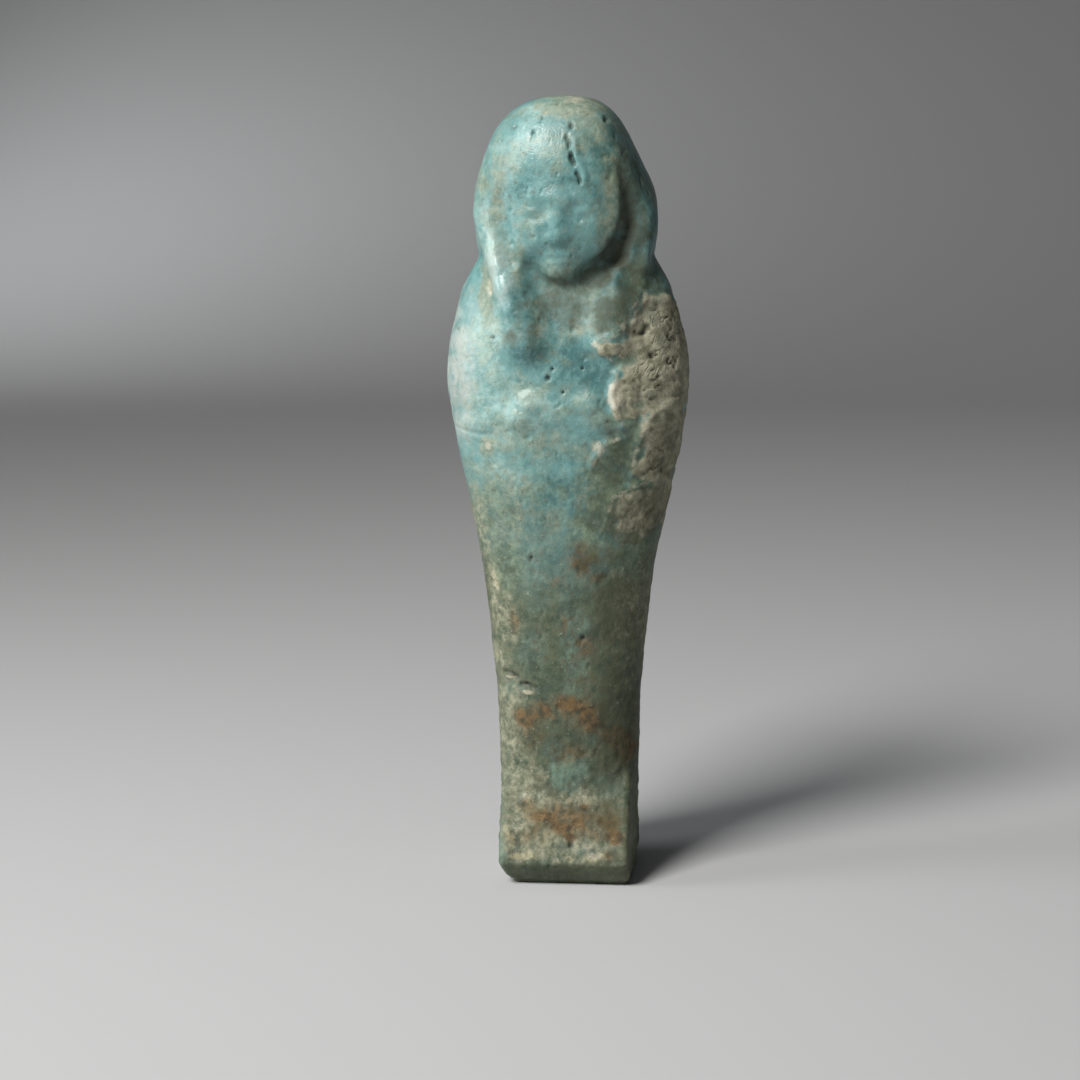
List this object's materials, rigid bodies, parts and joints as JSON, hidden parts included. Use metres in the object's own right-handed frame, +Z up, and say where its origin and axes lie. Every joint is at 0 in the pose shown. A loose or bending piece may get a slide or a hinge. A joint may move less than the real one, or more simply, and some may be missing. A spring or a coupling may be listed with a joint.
{
  "type": "ushabti figurine",
  "caption": "Small mummy-shaped tomb figurine in worn turquoise faience, with a lappet wig, crossed arms, a flat back pillar and a block foot it stands on.",
  "frame": {"origin": "middle of the underside, on the surface the figurine stands on", "axes": "+Z up along the figurine to the crown, -Y the way it faces, +X the figurine's own left"},
  "size_m": [0.0274, 0.0174, 0.09],
  "materials": {
    "faience": "satin"
  },
  "bodies": {
    "root": {"ushabti_figure": "faience"}
  },
  "joints": []
}
